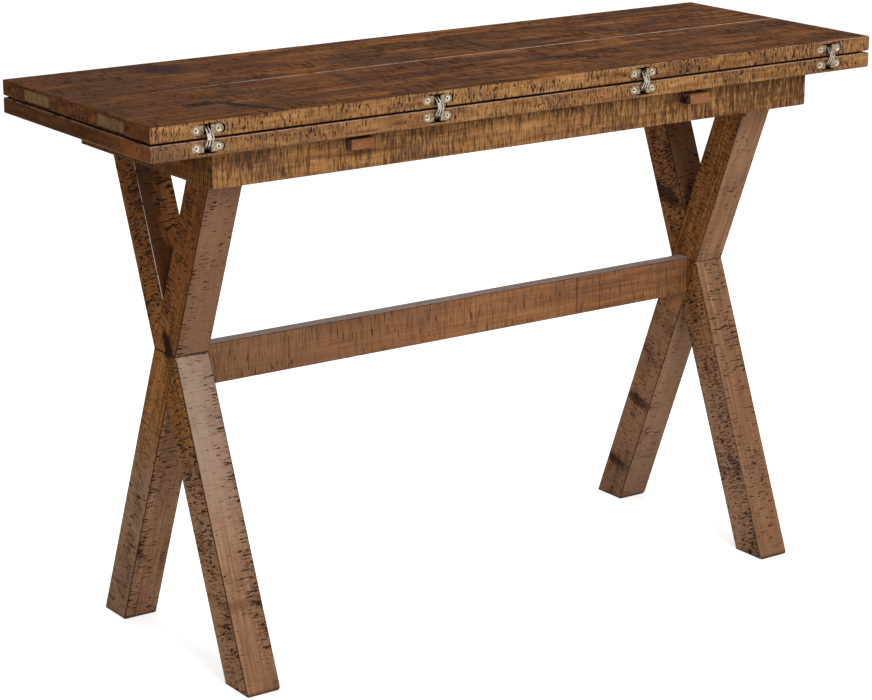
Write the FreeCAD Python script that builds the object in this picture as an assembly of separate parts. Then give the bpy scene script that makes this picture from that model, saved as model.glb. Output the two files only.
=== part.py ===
import FreeCAD, Part
import math
import os

# Flip-top extending table: two stacked wooden leaves on an apron box and two half-lapped X frames.
# Millimetres. X runs along the table, the hinged front edge faces -Y, Z is up, and the floor is z = 0.

V = FreeCAD.Vector
X_AXIS = V(1, 0, 0)
Y_AXIS = V(0, 1, 0)
Z_AXIS = V(0, 0, 1)

# Leaves
table_length = 1219.2
leaf_depth = 410.0
top_height = 793.5
leaf_thick = 22.3
leaf_gap = 2.2
leaf_edge_round = 1.3
seam_offset = 2.5
edge_gap = 0.5
board_dowel_radius = 4.0
board_dowel_length = 40.0
board_dowel_place_shares = (-0.8, -0.4, 0.0, 0.4, 0.8)

# Plugs let into the ends of the upper boards
plug_width = 72.0
plug_height = 16.0
plug_rise = 2.8
plug_length = 14.0

# Bumpers between the leaves
bumper_radius = 5.0
bumper_height = 1.9
bumper_inset = 40.0

# Apron box
apron_setback = 26.6
apron_end_setback = 102.4
apron_thick = 22.0
apron_drop = 50.2
apron_edge_round = 1.0
bearer_thick = 22.0
bearer_height = 38.0

# Blocks and screws that hold the leaf to the aprons
block_length = 42.0
block_side = 20.0
fixing_screw_radius = 2.0
fixing_screw_length = 32.0
fixing_head_radius = 3.8
fixing_head_height = 2.4
fixing_screw_spread = 20.0

# X frames
leg_width = 53.0
leg_depth = 54.0
leg_top_clear = 4.2
foot_half_span = 201.5
leg_edge_round = 1.3
leg_bolt_radius = 3.0
leg_bolt_grip = 15.0
leg_bolt_spread = 24.0
leg_bolt_head_flats = 10.0
leg_bolt_head_height = 4.0
washer_radius = 8.0
washer_thick = 1.5

# Stretcher
stretcher_height = 58.0
stretcher_thick = 22.6
stretcher_below_crossing = 53.6
stretcher_edge_round = 1.0
stretcher_dowel_radius = 5.0
stretcher_dowel_length = 50.0
stretcher_dowel_spread = 30.0

# Lopers, the pull-out supports
loper_width = 36.5
loper_height = 15.0
loper_drop = 6.3
loper_end_inset = 221.8
loper_rear_clear = 16.7
loper_show = 13.9
right_loper_out = 8.0
loper_edge_round = 1.2
loper_side_clear = 0.8
loper_under_clear = 0.3
loper_over_clear = 0.3
pad_radius = 7.0
pad_clear = 0.3
pad_inset = 22.0
stop_radius = 4.0
stop_inset = 12.0
stop_drop = 6.0
stop_clear = 0.3
cleat_width = 20.0
cleat_end_clear = 10.0
keeper_thick = 9.0
keeper_depth = 59.8
keeper_screw_length = 28.0

# Link hinges, measured from the hinge line at mid gap
hinge_end_inset = 82.2
hinge_place_shares = (-1.0, -1.0 / 3.0, 1.0 / 3.0, 1.0)
plate_length = 46.8
plate_height = 12.0
plate_thick = 3.0
plate_offset = 11.4
plate_sink = 0.6
plate_end_clear = 0.7
plate_side_clear = 0.3
hinge_body_width = 24.0
hinge_body_depth = 18.0
hinge_slot_width = 15.0
hinge_slot_depth = 16.6
pocket_relief = 1.5
hinge_screw_spacing = 32.4
hinge_screw_radius = 1.6
hinge_screw_length = 16.0
hinge_head_radius = 3.8
hinge_head_height = 2.2
hinge_driver_radius = 1.5
hinge_driver_depth = 1.4

# Links: a pivot and a tail in each hinge body, an elbow outside it and a knee at the hinge line
pivot_in = 7.0
pivot_off = 8.0
knee_out = 5.5
elbow_out = 1.5
elbow_off = 8.0
tail_in = 5.5
tail_off = 14.2
link_half_width = 1.5
pin_radius = 0.7
pin_clear = 0.05
outer_arm_centre = 4.05
outer_arm_thick = 1.5
middle_arm_thick = 2.2
fork_arm_centre = 2.2
fork_arm_thick = 1.6
web_inner = 2.2
web_outer = 3.0
web_half_width = 4.8
web_past_knee = 1.0
web_before_elbow = 1.2

cut_over = 2.0

# Derived levels
upper_top = top_height
upper_bottom = upper_top - leaf_thick
lower_top = upper_bottom - leaf_gap
lower_bottom = lower_top - leaf_thick
apron_bottom = lower_bottom - apron_drop
hinge_z = (upper_bottom + lower_top) / 2

# The folded link sets how far the hinges stand proud, and the origin is midway along the whole depth
rise_y = knee_out - elbow_out
link_arm_length = math.hypot(rise_y, elbow_off)
out_y = elbow_off / link_arm_length
out_z = rise_y / link_arm_length
web_low_y = knee_out + web_past_knee * out_z + web_outer * out_y
link_proud = edge_gap + web_low_y
mid_y = link_proud / 2
leaf_front = mid_y - leaf_depth / 2
leaf_rear = mid_y + leaf_depth / 2
hinge_y = leaf_front - edge_gap
seam_y = mid_y + seam_offset
half_length = table_length / 2

apron_half_length = half_length - apron_end_setback
apron_front = leaf_front + apron_setback
apron_rear = leaf_rear - apron_setback
apron_front_inner = apron_front + apron_thick
apron_rear_inner = apron_rear - apron_thick
apron_end_inner = apron_half_length - apron_thick

# The legs lean so that their tops end just inside the long aprons and their feet reach the foot span
leg_reach = foot_half_span + leaf_depth / 2 - apron_setback - apron_thick - leg_top_clear
leg_lean = math.acos(leg_depth / math.hypot(leg_reach, lower_bottom)) - math.atan2(lower_bottom, leg_reach)
lean = math.tan(leg_lean)
leg_run = leg_depth / math.cos(leg_lean)
crossing_z = (foot_half_span - leg_run / 2) / lean
stretcher_bottom = crossing_z - stretcher_below_crossing

hinge_place = half_length - hinge_end_inset
loper_place = apron_half_length - loper_end_inset
loper_top = lower_bottom - loper_drop
loper_bottom = loper_top - loper_height
loper_front = apron_front - loper_show
loper_rear = apron_rear_inner - loper_rear_clear
channel_half = loper_width / 2 + loper_side_clear
keeper_top = loper_bottom - loper_under_clear
stop_y = loper_rear - stop_inset
keeper_rear = apron_front_inner + keeper_depth
loper_travel = stop_y - stop_radius - stop_clear - keeper_rear
cleat_rear = apron_rear_inner - cleat_end_clear

# Fixing blocks stand midway between the bearer, the loper channels and the legs
channel_outer = channel_half + cleat_width
inner_block_place = (bearer_thick / 2 + loper_place - channel_outer) / 2
outer_block_place = (loper_place + channel_outer + apron_end_inner - leg_width) / 2
block_places = (-outer_block_place, -inner_block_place, inner_block_place, outer_block_place)


def box(x0, x1, y0, y1, z0, z1):
    return Part.makeBox(x1 - x0, y1 - y0, z1 - z0, V(x0, y0, z0))


def rod(radius, length, start, direction):
    return Part.makeCylinder(radius, length, start, direction)


def eased(shape, radius, keep):
    """Round the edges of a shape whose middle point passes the test."""
    edges = [e for e in shape.Edges if keep(e.CenterOfMass)]
    return shape.makeFillet(radius, edges)


def mirror_z(shape):
    """Turn a lower hinge part into the upper one, about the hinge line."""
    return shape.mirror(V(0, 0, hinge_z), Z_AXIS)


def place_in_x(shape, x):
    return shape.translated(V(x, 0, 0))


def at_hinges(shape):
    return [place_in_x(shape, hinge_place * share) for share in hinge_place_shares]


def write(name, solids):
    """Write one named piece, or a group of separate pieces, as one STEP file."""
    shape = solids[0] if len(solids) == 1 else Part.makeCompound(solids)
    loose = shape.Solids
    broken = [s for s in loose if not s.isValid() or s.Volume <= 0]
    print(name, len(loose), "solids", "volume", round(shape.Volume), "BROKEN" if broken else "")
    shape.exportStep(os.path.join("parts", name + ".step"))


# Hinge outlines shared by the plate and by its pocket in the leaf edge
def obround_face_y(length, height, y, z):
    """A flat obround facing -Y, centred on x = 0."""
    radius = height / 2
    half = length / 2 - radius
    top_left = V(-half, y, z + radius)
    top_right = V(half, y, z + radius)
    low_right = V(half, y, z - radius)
    low_left = V(-half, y, z - radius)
    right_tip = V(half + radius, y, z)
    left_tip = V(-half - radius, y, z)
    edges = [
        Part.makeLine(top_left, top_right),
        Part.Arc(top_right, right_tip, low_right).toShape(),
        Part.makeLine(low_right, low_left),
        Part.Arc(low_left, left_tip, top_left).toShape(),
    ]
    return Part.Face(Part.Wire(edges))


def hinge_levels():
    plate_z = hinge_z - plate_offset
    face_y = leaf_front + plate_sink
    return plate_z, face_y


def screw_places():
    return (-hinge_screw_spacing / 2, hinge_screw_spacing / 2)


def hinge_pocket():
    """The mortise for one hinge in the front edge of the lower leaf."""
    plate_z, face_y = hinge_levels()
    length = plate_length + 2 * plate_end_clear
    height = plate_height + 2 * plate_side_clear
    mouth = obround_face_y(length, height, leaf_front - cut_over, plate_z)
    pocket = mouth.extrude(V(0, cut_over + plate_sink + plate_thick, 0))
    half = hinge_body_width / 2 + plate_side_clear
    deep = face_y + hinge_body_depth
    low = plate_z - height / 2
    pocket = pocket.fuse(box(-half, half, leaf_front - cut_over, deep, low, plate_z + height / 2))
    slot = hinge_slot_width / 2
    pocket = pocket.fuse(box(-slot, slot, leaf_front - cut_over, deep, low - pocket_relief, plate_z))
    for x in screw_places():
        hole = rod(hinge_screw_radius, hinge_screw_length + cut_over, V(x, face_y, plate_z), Y_AXIS)
        pocket = pocket.fuse(hole)
    return pocket


def hinge_body():
    """One lower hinge body: an obround plate, a deep U-shaped barrel and two countersunk holes."""
    plate_z, face_y = hinge_levels()
    body = obround_face_y(plate_length, plate_height, face_y, plate_z).extrude(V(0, plate_thick, 0))
    half = hinge_body_width / 2
    low = plate_z - plate_height / 2
    high = plate_z + plate_height / 2
    body = body.fuse(box(-half, half, face_y, face_y + hinge_body_depth, low, high)).removeSplitter()
    slot = hinge_slot_width / 2
    over_low = low - cut_over
    over_high = high + cut_over
    body = body.cut(box(-slot, slot, face_y - cut_over, face_y + hinge_slot_depth, over_low, over_high))
    for x in screw_places():
        body = body.cut(hinge_screw_form(x, False))
    return body.cut(pivot_pin())


def hinge_screw_form(x, with_driver):
    plate_z, face_y = hinge_levels()
    start = V(x, face_y, plate_z)
    head = Part.makeCone(hinge_head_radius, hinge_screw_radius, hinge_head_height, start, Y_AXIS)
    screw = head.fuse(rod(hinge_screw_radius, hinge_screw_length, start, Y_AXIS)).removeSplitter()
    if with_driver:
        screw = screw.cut(rod(hinge_driver_radius, hinge_driver_depth, start, Y_AXIS))
    return screw


def pivot_pin():
    half = hinge_body_width / 2
    start = V(-half, hinge_y + pivot_in, hinge_z - pivot_off)
    return rod(pin_radius, hinge_body_width, start, X_AXIS)


# Link outlines in the Y-Z plane, written for the lower leaf
def link_points():
    pivot = (hinge_y + pivot_in, hinge_z - pivot_off)
    elbow = (hinge_y - elbow_out, hinge_z - elbow_off)
    knee = (hinge_y - knee_out, hinge_z)
    tail = (hinge_y + tail_in, hinge_z - tail_off)
    return pivot, elbow, knee, tail


def bar_between(start, end, near, far, x0, x1):
    """A flat bar along a line from start to end, from near to far on its outward side."""
    run_y = end[0] - start[0]
    run_z = end[1] - start[1]
    length = math.hypot(run_y, run_z)
    side_y = -run_z / length
    side_z = run_y / length
    corners = [
        V(x0, start[0] + side_y * near, start[1] + side_z * near),
        V(x0, end[0] + side_y * near, end[1] + side_z * near),
        V(x0, end[0] + side_y * far, end[1] + side_z * far),
        V(x0, start[0] + side_y * far, start[1] + side_z * far),
    ]
    return Part.Face(Part.makePolygon(corners + corners[:1])).extrude(V(x1 - x0, 0, 0))


def link_arm(centre, thick):
    """One flat bent arm: a heel with an eye on the pivot pin, and a shank with a round end at the knee."""
    pivot, elbow, knee, tail = link_points()
    x0 = centre - thick / 2
    x1 = centre + thick / 2
    heel = [V(x0, point[0], point[1]) for point in (pivot, elbow, tail)]
    arm = Part.Face(Part.makePolygon(heel + heel[:1])).extrude(V(thick, 0, 0))
    for start, end in ((pivot, elbow), (elbow, tail), (tail, pivot), (elbow, knee)):
        arm = arm.fuse(bar_between(start, end, -link_half_width, link_half_width, x0, x1))
    for point in (pivot, elbow, knee, tail):
        arm = arm.fuse(rod(link_half_width, thick, V(x0, point[0], point[1]), X_AXIS))
    eye = rod(pin_radius + pin_clear, thick, V(x0, pivot[0], pivot[1]), X_AXIS)
    return arm.removeSplitter().cut(eye)


def upper_fork():
    """The upper link, drawn for the lower leaf: two thin arms joined by a wide folded web."""
    elbow, knee = link_points()[1:3]
    along_y = (knee[0] - elbow[0]) / link_arm_length
    along_z = (knee[1] - elbow[1]) / link_arm_length
    first = (elbow[0] + along_y * web_before_elbow, elbow[1] + along_z * web_before_elbow)
    last = (knee[0] + along_y * web_past_knee, knee[1] + along_z * web_past_knee)
    fork = bar_between(first, last, web_inner, web_outer, -web_half_width, web_half_width)
    for centre in (-fork_arm_centre, fork_arm_centre):
        fork = fork.fuse(link_arm(centre, fork_arm_thick))
        x0 = centre - fork_arm_thick / 2
        fork = fork.fuse(bar_between(first, knee, 0, web_outer, x0, x0 + fork_arm_thick))
    return fork.removeSplitter()


# Leaves
def leaf_board(bottom, y0, y1):
    """One wide board of a leaf, eased on every edge but those at the seam."""
    board = box(-half_length, half_length, y0, y1, bottom, bottom + leaf_thick)
    clear_of_seam = leaf_edge_round

    def outer(point):
        return abs(point.y - seam_y) > clear_of_seam

    return eased(board, leaf_edge_round, outer)


def board_dowels(bottom):
    centre = bottom + leaf_thick / 2
    start_y = seam_y - board_dowel_length / 2
    rods = []
    for share in board_dowel_place_shares:
        start = V(half_length * share, start_y, centre)
        rods.append(rod(board_dowel_radius, board_dowel_length, start, Y_AXIS))
    return rods


def board_centres():
    return ((leaf_front + seam_y) / 2, (seam_y + leaf_rear) / 2)


def end_plugs():
    """Plugs let into both ends of each upper board, flush with the ends."""
    plugs = []
    low = upper_bottom + plug_rise
    for y in board_centres():
        y0 = y - plug_width / 2
        y1 = y + plug_width / 2
        for x0 in (-half_length, half_length - plug_length):
            plugs.append(box(x0, x0 + plug_length, y0, y1, low, low + plug_height))
    return plugs


def cut_all(shape, tools):
    return shape.cut(tools) if tools else shape


def lower_leaf():
    dowels = board_dowels(lower_bottom)
    front = leaf_board(lower_bottom, leaf_front, seam_y)
    rear = leaf_board(lower_bottom, seam_y, leaf_rear)
    screws = [s for s in leaf_fixing_screws() + keeper_screws()]
    front = cut_all(front, dowels + at_hinges(hinge_pocket()) + screws)
    rear = cut_all(rear, dowels + screws)
    write("lower_leaf_front_board", [front])
    write("lower_leaf_rear_board", [rear])
    write("lower_leaf_dowels", dowels)


def upper_leaf():
    dowels = board_dowels(upper_bottom)
    plugs = end_plugs()
    front = leaf_board(upper_bottom, leaf_front, seam_y)
    rear = leaf_board(upper_bottom, seam_y, leaf_rear)
    front = cut_all(front, dowels + plugs + at_hinges(mirror_z(hinge_pocket())))
    rear = cut_all(rear, dowels + plugs)
    write("upper_leaf_front_board", [front])
    write("upper_leaf_rear_board", [rear])
    write("upper_leaf_dowels", dowels)
    write("leaf_end_plugs", plugs)


def bumpers():
    discs = []
    for x in (-half_length + bumper_inset, half_length - bumper_inset):
        for y in (leaf_front + bumper_inset, leaf_rear - bumper_inset):
            discs.append(rod(bumper_radius, bumper_height, V(x, y, lower_top), Z_AXIS))
    write("leaf_bumpers", discs)


# Apron box
def apron_board(x0, x1, y0, y1):
    """An apron board, eased along its two lower edges."""
    board = box(x0, x1, y0, y1, apron_bottom, lower_bottom)

    def low(point):
        return abs(point.z - apron_bottom) < apron_edge_round

    return eased(board, apron_edge_round, low)


def loper_notch(x):
    """The opening in the front apron for one loper, open at the top."""
    y0 = apron_front - cut_over
    y1 = apron_front_inner + cut_over
    return box(x - channel_half, x + channel_half, y0, y1, keeper_top, lower_bottom + cut_over)


def aprons():
    screws = apron_fixing_screws()
    front = apron_board(-apron_half_length, apron_half_length, apron_front, apron_front_inner)
    front = cut_all(front, [loper_notch(-loper_place), loper_notch(loper_place)] + screws)
    rear = apron_board(-apron_half_length, apron_half_length, apron_rear_inner, apron_rear)
    write("front_apron", [front])
    write("rear_apron", [cut_all(rear, screws)])
    bolts = [bolt for bolt, washer in leg_bolts()]
    left = apron_board(-apron_half_length, -apron_end_inner, apron_front_inner, apron_rear_inner)
    right = apron_board(apron_end_inner, apron_half_length, apron_front_inner, apron_rear_inner)
    write("left_end_apron", [cut_all(left, bolts)])
    write("right_end_apron", [cut_all(right, bolts)])


def centre_bearer():
    half = bearer_thick / 2
    low = lower_bottom - bearer_height
    write("centre_bearer", [box(-half, half, apron_front_inner, apron_rear_inner, low, lower_bottom)])


# Screws drawn along any direction, from the underside of the head
def pan_screw(seat, direction, length):
    body = rod(fixing_screw_radius, length, seat, direction)
    back = direction * -fixing_head_height
    head = rod(fixing_head_radius, fixing_head_height, seat + back, direction)
    return body.fuse(head).removeSplitter()


def block_sides():
    """The inner face of each long apron and the direction out of it."""
    return ((apron_front_inner, 1), (apron_rear_inner, -1))


def leaf_fixing_screws():
    screws = []
    for face, side in block_sides():
        for place in block_places:
            x = place - fixing_screw_spread / 2
            seat = V(x, face + side * block_side / 2, lower_bottom - block_side)
            screws.append(pan_screw(seat, Z_AXIS, fixing_screw_length))
    return screws


def apron_fixing_screws():
    screws = []
    for face, side in block_sides():
        for place in block_places:
            x = place + fixing_screw_spread / 2
            seat = V(x, face + side * block_side, lower_bottom - block_side / 2)
            screws.append(pan_screw(seat, Y_AXIS * -side, fixing_screw_length))
    return screws


def fixing_blocks():
    screws = leaf_fixing_screws() + apron_fixing_screws()
    blocks = []
    for face, side in block_sides():
        y0 = min(face, face + side * block_side)
        for place in block_places:
            x0 = place - block_length / 2
            low = lower_bottom - block_side
            block = box(x0, x0 + block_length, y0, y0 + block_side, low, lower_bottom)
            blocks.append(block.cut(screws))
    write("fixing_blocks", blocks)
    write("fixing_screws", screws)


# X frames
def leg_prism(x0, x1, side, top):
    """A leaning beam between the floor and a level; side 1 has its foot at the rear, -1 at the front."""
    foot_outer = mid_y + side * foot_half_span
    foot_inner = foot_outer - side * leg_run
    shift = -side * lean * top
    corners = [
        V(x0, foot_outer, 0),
        V(x0, foot_inner, 0),
        V(x0, foot_inner + shift, top),
        V(x0, foot_outer + shift, top),
    ]
    return Part.Face(Part.makePolygon(corners + corners[:1])).extrude(V(x1 - x0, 0, 0))


def leg(x0, side, continuous_half):
    """One beam of an X frame, half-lapped where the other beam crosses it."""
    beam = leg_prism(x0, x0 + leg_width, side, lower_bottom)

    def along(point):
        return 0 < point.z < lower_bottom and abs(point.z - lower_bottom / 2) < leg_depth

    beam = eased(beam, leg_edge_round, along)
    middle = x0 + leg_width / 2
    if continuous_half < 0:
        other = leg_prism(middle, x0 + leg_width + cut_over, -side, lower_bottom)
    else:
        other = leg_prism(x0 - cut_over, middle, -side, lower_bottom)
    return beam.cut(other)


def frame_starts():
    return (("left", -apron_end_inner), ("right", apron_end_inner - leg_width))


def leg_centre(side, z):
    return mid_y + side * (foot_half_span - leg_run / 2) - side * lean * z


def leg_bolts():
    """Hex bolts with washers, through each leg top into the end apron."""
    pairs = []
    z = (apron_bottom + lower_bottom) / 2
    for frame, x0 in frame_starts():
        out = -1 if frame == "left" else 1
        seat_x = x0 + leg_width if out < 0 else x0
        for side in (-1, 1):
            for step in (-leg_bolt_spread / 2, leg_bolt_spread / 2):
                centre = V(seat_x, leg_centre(side, z) + step, z)
                pairs.append(bolt_and_washer(centre, out))
    return pairs


def bolt_and_washer(seat, out):
    direction = X_AXIS * out
    washer_start = seat - direction * washer_thick
    shank_length = washer_thick + leg_width + leg_bolt_grip
    shank = rod(leg_bolt_radius, shank_length, washer_start, direction)
    head = hex_head(washer_start - direction * leg_bolt_head_height, direction)
    washer = rod(washer_radius, washer_thick, washer_start, direction).cut(shank)
    return head.fuse(shank).removeSplitter(), washer


def hex_head(start, direction):
    radius = leg_bolt_head_flats / 2 / math.cos(math.pi / 6)
    corners = []
    for k in range(6):
        angle = math.pi / 3 * k
        corners.append(start + V(0, radius * math.cos(angle), radius * math.sin(angle)))
    return Part.Face(Part.makePolygon(corners + corners[:1])).extrude(direction * leg_bolt_head_height)


def x_frames():
    bolts = [bolt for bolt, washer in leg_bolts()]
    washers = [washer for bolt, washer in leg_bolts()]
    dowels = stretcher_dowels()
    for frame, x0 in frame_starts():
        rear_foot = leg(x0, 1, -1)
        front_foot = leg(x0, -1, 1)
        write(frame + "_rear_foot_leg", [cut_all(rear_foot, bolts + dowels)])
        write(frame + "_front_foot_leg", [cut_all(front_foot, bolts + dowels)])
    write("leg_bolts", bolts)
    write("leg_bolt_washers", washers)


# Stretcher
def stretcher_dowels():
    middle = stretcher_bottom + stretcher_height / 2
    span = apron_end_inner - leg_width
    rods = []
    for x in (-span, span):
        for step in (-stretcher_dowel_spread / 2, stretcher_dowel_spread / 2):
            start = V(x - stretcher_dowel_length / 2, mid_y, middle + step)
            rods.append(rod(stretcher_dowel_radius, stretcher_dowel_length, start, X_AXIS))
    return rods


def stretcher():
    half = stretcher_thick / 2
    span = apron_end_inner - leg_width
    low = stretcher_bottom
    rail = box(-span, span, mid_y - half, mid_y + half, low, low + stretcher_height)

    def along(point):
        return abs(point.x) < leg_width

    rail = eased(rail, stretcher_edge_round, along)
    dowels = stretcher_dowels()
    write("stretcher", [cut_all(rail, dowels)])
    write("stretcher_dowels", dowels)


# Lopers and the channels that they slide in
def keeper_screws():
    """Screws up through the keepers and cleats into the lower leaf."""
    screws = []
    y = (apron_front_inner + keeper_rear) / 2
    offset = channel_half + cleat_width / 2
    for centre in (-loper_place, loper_place):
        for x in (centre - offset, centre + offset):
            seat = V(x, y, keeper_top - keeper_thick)
            length = lower_bottom - seat.z + leaf_thick / 2
            screws.append(pan_screw(seat, Z_AXIS, length))
    return screws


def loper_channel(name, centre):
    screws = keeper_screws()
    cleats = []
    for side in (-1, 1):
        near = centre + side * channel_half
        far = near + side * cleat_width
        x0 = min(near, far)
        x1 = max(near, far)
        cleat = box(x0, x1, apron_front_inner, cleat_rear, keeper_top, lower_bottom)
        cleats.append(cleat.cut(screws))
    write(name + "_loper_cleats", cleats)
    cap_low = loper_top + loper_over_clear
    x0 = centre - channel_half
    x1 = centre + channel_half
    write(name + "_loper_cap", [box(x0, x1, apron_front_inner, cleat_rear, cap_low, lower_bottom)])
    half = channel_outer
    keeper_low = keeper_top - keeper_thick
    keeper = box(centre - half, centre + half, apron_front_inner, keeper_rear, keeper_low, keeper_top)
    write(name + "_loper_keeper", [keeper.cut(screws)])


def loper(name, centre, out):
    """One support slide with its rest pad near the front and its stop peg near the rear."""
    x0 = centre - loper_width / 2
    front = loper_front - out
    rear = loper_rear - out
    bar = box(x0, x0 + loper_width, front, rear, loper_bottom, loper_top)

    def front_edges(point):
        return abs(point.y - front) < loper_edge_round

    bar = eased(bar, loper_edge_round, front_edges)
    peg_y = stop_y - out
    peg_start = V(centre, peg_y, loper_bottom - stop_drop)
    peg = rod(stop_radius, stop_drop + loper_height / 2, peg_start, Z_AXIS)
    pad_height = loper_drop - pad_clear
    pad = rod(pad_radius, pad_height, V(centre, front + pad_inset, loper_top), Z_AXIS)
    write(name + "_loper", [bar.cut(peg)])
    write(name + "_loper_pad", [pad])
    write(name + "_loper_stop_peg", [peg])


# Hinges
def hinges():
    plate_screws = [hinge_screw_form(x, True) for x in screw_places()]
    body = hinge_body()
    pin = pivot_pin()
    arms = [link_arm(-outer_arm_centre, outer_arm_thick)]
    arms.append(link_arm(0, middle_arm_thick))
    arms.append(link_arm(outer_arm_centre, outer_arm_thick))
    write("lower_hinge_bodies", at_hinges(body))
    write("upper_hinge_bodies", at_hinges(mirror_z(body)))
    write("lower_hinge_pins", at_hinges(pin))
    write("upper_hinge_pins", at_hinges(mirror_z(pin)))
    write("lower_hinge_screws", [s for screw in plate_screws for s in at_hinges(screw)])
    write("upper_hinge_screws", [s for screw in plate_screws for s in at_hinges(mirror_z(screw))])
    write("lower_link_arms", [a for arm in arms for a in at_hinges(arm)])
    write("upper_link_forks", at_hinges(mirror_z(upper_fork())))


os.makedirs("parts", exist_ok=True)
lower_leaf()
upper_leaf()
bumpers()
aprons()
centre_bearer()
fixing_blocks()
x_frames()
stretcher()
for loper_name, loper_x, loper_out in (("left", -loper_place, 0), ("right", loper_place, right_loper_out)):
    loper_channel(loper_name, loper_x)
    loper(loper_name, loper_x, loper_out)
write("keeper_screws", keeper_screws())
hinges()
print("hinge line y", hinge_y, "z", hinge_z, "mid y", mid_y, "links proud", link_proud)
print("leg lean", math.degrees(leg_lean), "stretcher bottom", stretcher_bottom)
print("loper place", loper_place, "travel", loper_travel)
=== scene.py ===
import bpy
import math
import numpy as np
from mathutils import Euler, Matrix, Vector


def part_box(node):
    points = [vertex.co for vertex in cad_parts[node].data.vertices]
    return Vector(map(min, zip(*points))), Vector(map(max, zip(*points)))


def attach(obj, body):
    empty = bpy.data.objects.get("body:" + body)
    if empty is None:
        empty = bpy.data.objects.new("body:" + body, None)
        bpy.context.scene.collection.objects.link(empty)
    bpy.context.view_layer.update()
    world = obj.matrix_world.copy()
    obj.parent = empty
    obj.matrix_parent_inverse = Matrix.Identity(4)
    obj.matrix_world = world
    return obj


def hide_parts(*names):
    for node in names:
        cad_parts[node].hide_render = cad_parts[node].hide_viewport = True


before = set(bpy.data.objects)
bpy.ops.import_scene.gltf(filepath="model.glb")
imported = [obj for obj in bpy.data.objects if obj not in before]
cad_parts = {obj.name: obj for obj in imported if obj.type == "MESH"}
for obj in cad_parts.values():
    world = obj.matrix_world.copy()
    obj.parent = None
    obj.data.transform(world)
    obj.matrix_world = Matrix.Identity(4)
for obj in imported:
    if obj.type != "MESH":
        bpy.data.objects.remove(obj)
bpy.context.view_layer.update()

# Upper leaf boards
# The leaf that flips is two wide boards, glued and dowelled edge to edge along the table. They are
# rough sawn across the grain, stained dark on the face, worn pale at the arrises and waxed; along
# the seam and the front top arris the pale arris colour is partly a painted highlight.
MM = 0.001
X, Y, Z = range(3)
QUARTER = math.pi / 2
LONG_CUTS = 60
TOUCHING = 1 * MM
board_corner = 5.5 * MM
left_end_share = 0.45
left_corner_share = 0.35
right_corner_share = 0.45
board_arris_share = 0.23
seam_arris_share = 0.15
board_cells = ((X, 5 * MM), (Y, 7 * MM), (Z, 7 * MM))
board_wear = ((60 * MM, 0.12 * MM), (9 * MM, 0.45 * MM))
arris_reach = 5 * MM
loop_inset = 3.5 * MM
smooth_angle = math.radians(38)
across_table = (0, 0, -QUARTER)
worn_wood = (172, 144, 126)


def alone(piece):
    bpy.ops.object.select_all(action="DESELECT")
    piece.select_set(True)
    bpy.context.view_layer.objects.active = piece


def run_of(piece, edge):
    """The middle of an edge and its direction."""
    first, last = (piece.data.vertices[i].co for i in edge.vertices)
    return (first + last) / 2, (last - first).normalized()


def along(direction, axis):
    return abs(direction[axis]) > 0.9


def mode(name):
    bpy.ops.object.mode_set(mode=name)


def pick(piece, kind, test):
    """Open a piece in edit mode with only the points, edges or faces selected that pass a test."""
    alone(piece)
    mode("EDIT")
    bpy.ops.mesh.select_mode(type=kind)
    bpy.ops.mesh.select_all(action="DESELECT")
    mode("OBJECT")
    mesh = piece.data
    for part in {"VERT": mesh.vertices, "EDGE": mesh.edges, "FACE": mesh.polygons}[kind]:
        part.select = test(part)
    mode("EDIT")


def primitive(add, name, **place):
    """Add a primitive with nothing else selected, and keep its turn and place in its mesh."""
    bpy.ops.object.select_all(action="DESELECT")
    add(**place)
    piece = bpy.context.object
    piece.name = name
    bpy.ops.object.transform_apply(location=True, rotation=True, scale=True)
    return piece


def block(name, low, high):
    """A plain block between two corners, the start of a sawn piece."""
    return primitive(bpy.ops.mesh.primitive_cube_add, name, size=1, location=(low + high) / 2,
                     scale=high - low)


def apply_modifier(piece, kind, **settings):
    alone(piece)
    modifier = piece.modifiers.new(kind.lower(), kind)
    for setting, value in settings.items():
        setattr(modifier, setting, value)
    bpy.ops.object.modifier_apply(modifier=modifier.name)


def round_shares(piece, width, segments, share):
    """Round the edges of a block, each by its own share of a width."""
    shares = [share(*run_of(piece, edge)) for edge in piece.data.edges]
    weight = piece.data.attributes.new("bevel_weight_edge", "FLOAT", "EDGE")
    weight.data.foreach_set("value", shares)
    apply_modifier(piece, "BEVEL", limit_method="WEIGHT", width=width, segments=segments)


def ring_cuts(piece, cells):
    """Divide the edges along each axis, so that no ring round the piece is longer than its cell."""
    for axis, cell in cells:
        spread = [point.co[axis] for point in piece.data.vertices]
        wanted = math.ceil((max(spread) - min(spread)) / cell)
        first = min(wanted, LONG_CUTS)
        for parts in (first, math.ceil(wanted / first)):
            if parts > 1:
                pick(piece, "EDGE", lambda edge: abs(run_of(piece, edge)[1][axis]) > 0.999)
                bpy.ops.mesh.subdivide(number_cuts=parts - 1)
                mode("OBJECT")


def slice_at(piece, cuts, **keep):
    """Cut right through a piece at each place along an axis."""
    alone(piece)
    mode("EDIT")
    for axis, place in cuts:
        normal = Vector()
        normal[axis] = 1
        bpy.ops.mesh.select_all(action="SELECT")
        bpy.ops.mesh.bisect(plane_co=normal * place, plane_no=normal, **keep)
    mode("OBJECT")


def edge_loops(piece):
    """Cut a loop near each upright side of a block, so that wear can gather at the arrises."""
    cuts = []
    for axis in (X, Y):
        spread = [point.co[axis] for point in piece.data.vertices]
        cuts += [(axis, min(spread) + loop_inset), (axis, max(spread) - loop_inset)]
    slice_at(piece, cuts)


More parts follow.
